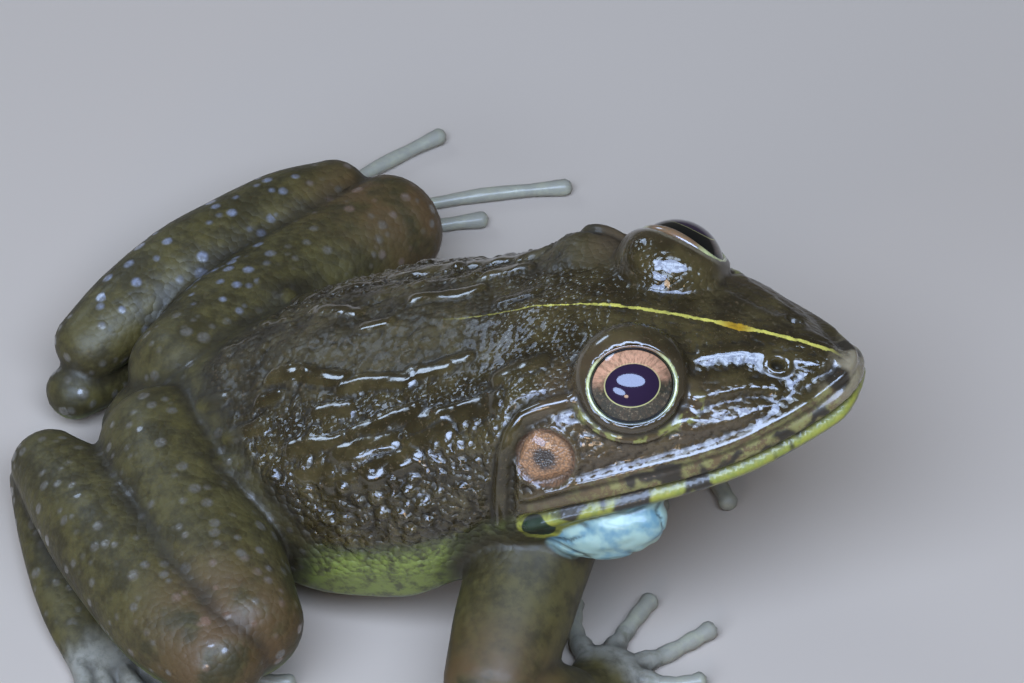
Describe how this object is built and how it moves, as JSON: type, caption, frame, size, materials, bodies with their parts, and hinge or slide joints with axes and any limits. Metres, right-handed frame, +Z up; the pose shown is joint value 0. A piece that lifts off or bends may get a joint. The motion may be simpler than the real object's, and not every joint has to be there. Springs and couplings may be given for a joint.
{
  "type": "indian bullfrog figure",
  "caption": "Life-size still model of an adult male Indian bullfrog sitting low on the floor, head raised on its front legs, hind legs folded, webbed feet spread.",
  "frame": {"origin": "the middle of the flat of the belly, on the floor", "axes": "+X forward towards the snout, +Y to the frog's left, +Z up"},
  "size_m": [0.1468, 0.179, 0.0682],
  "materials": {
    "back_skin": "wet dark olive-brown skin with ridges and fine warts, a thin yellow line down the middle",
    "jaw_skin": "wet yellow-green lip and chin skin barred with dark brown",
    "leg_skin": "wet grey-brown skin with pale round warts",
    "eardrum": "smooth tan membrane",
    "sac": "thin wet pale blue-green skin",
    "eye": "glossy eye with bronze iris and violet-black pupil"
  },
  "bodies": {
    "root": {"head": "back_skin", "lower_jaw": "jaw_skin", "eye_left": "eye", "eye_right": "eye", "eardrum_left": "eardrum", "eardrum_right": "eardrum", "vocal_sac_left": "sac", "vocal_sac_right": "sac", "trunk": "back_skin", "upper_arm_left": "leg_skin", "upper_arm_right": "leg_skin", "forearm_left": "leg_skin", "forearm_right": "leg_skin", "hand_left": "leg_skin", "hand_right": "leg_skin", "thigh_left": "leg_skin", "thigh_right": "leg_skin", "shank_left": "leg_skin", "shank_right": "leg_skin", "foot_left": "leg_skin", "foot_right": "leg_skin"}
  },
  "joints": []
}
